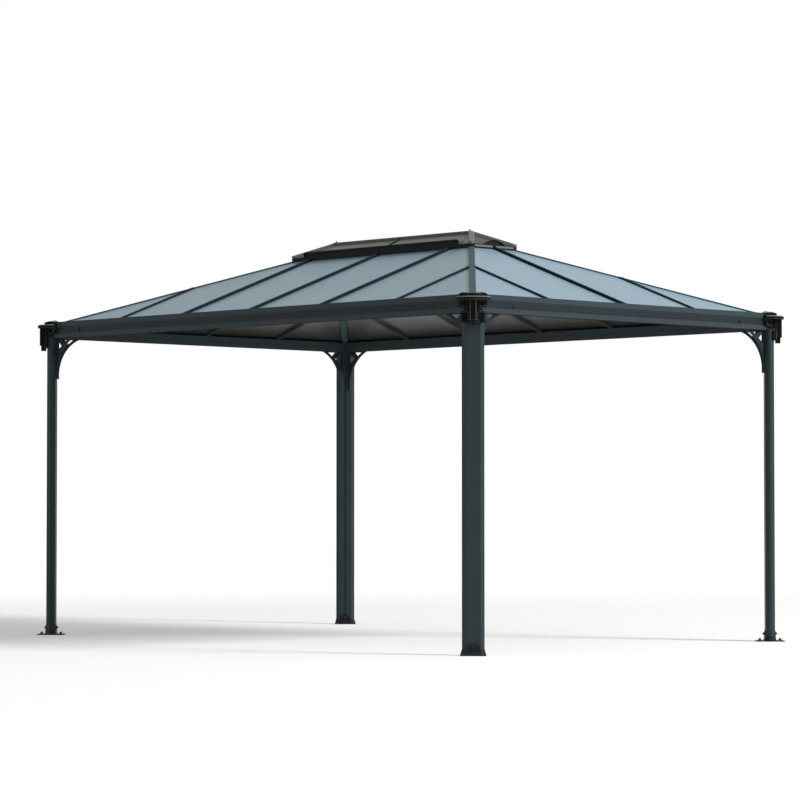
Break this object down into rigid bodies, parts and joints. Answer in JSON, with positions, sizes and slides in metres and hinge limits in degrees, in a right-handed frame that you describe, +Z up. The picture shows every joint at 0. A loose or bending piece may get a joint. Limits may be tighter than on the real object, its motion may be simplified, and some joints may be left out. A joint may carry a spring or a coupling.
{
  "type": "metal gazebo",
  "caption": "Open-sided metal garden gazebo: posts on bolted feet carry gutter beams, arched corner braces and a hipped panel roof with a raised, vented upper roof.",
  "frame": {"origin": "on the ground, midway between the posts", "axes": "+X along the long side to the right, the front long side faces -Y, +Z up"},
  "size_m": [4.477, 3.107, 2.8173],
  "materials": {
    "frame_coat": "satin anthracite powder coat on aluminium",
    "foot_coat": "satin dark powder coat on steel",
    "corner_moulding": "matt moulded near-black",
    "rafter_coat": "satin grey powder coat on aluminium",
    "roof_sheet": "smooth twin-wall sheet with faint flutes"
  },
  "bodies": {
    "root": {"post_front_left": "frame_coat", "post_front_right": "frame_coat", "post_back_left": "frame_coat", "post_back_right": "frame_coat", "foot_front_left": "foot_coat", "foot_front_right": "foot_coat", "foot_back_left": "foot_coat", "foot_back_right": "foot_coat", "beam_front": "frame_coat", "beam_back": "frame_coat", "beam_left": "frame_coat", "beam_right": "frame_coat", "corner_front_left": "corner_moulding", "corner_front_right": "corner_moulding", "corner_back_left": "corner_moulding", "corner_back_right": "corner_moulding", "front_brace_left": "corner_moulding", "front_brace_right": "corner_moulding", "back_brace_left": "corner_moulding", "back_brace_right": "corner_moulding", "left_brace_front": "corner_moulding", "left_brace_back": "corner_moulding", "right_brace_front": "corner_moulding", "right_brace_back": "corner_moulding", "hip_front_left": "rafter_coat", "hip_front_right": "rafter_coat", "hip_back_left": "rafter_coat", "hip_back_right": "rafter_coat", "rafters_front": "rafter_coat", "rafters_back": "rafter_coat", "rafters_left": "rafter_coat", "rafters_right": "rafter_coat", "panels_front": "roof_sheet", "panels_back": "roof_sheet", "panels_left": "roof_sheet", "panels_right": "roof_sheet", "vent_ring": "rafter_coat", "upper_panel_front": "roof_sheet", "upper_panel_back": "roof_sheet", "upper_panel_left": "roof_sheet", "upper_panel_right": "roof_sheet", "upper_frame": "rafter_coat", "upper_hip_caps": "rafter_coat", "ridge_cap": "rafter_coat", "upper_joint_strips": "rafter_coat"}
  },
  "joints": []
}
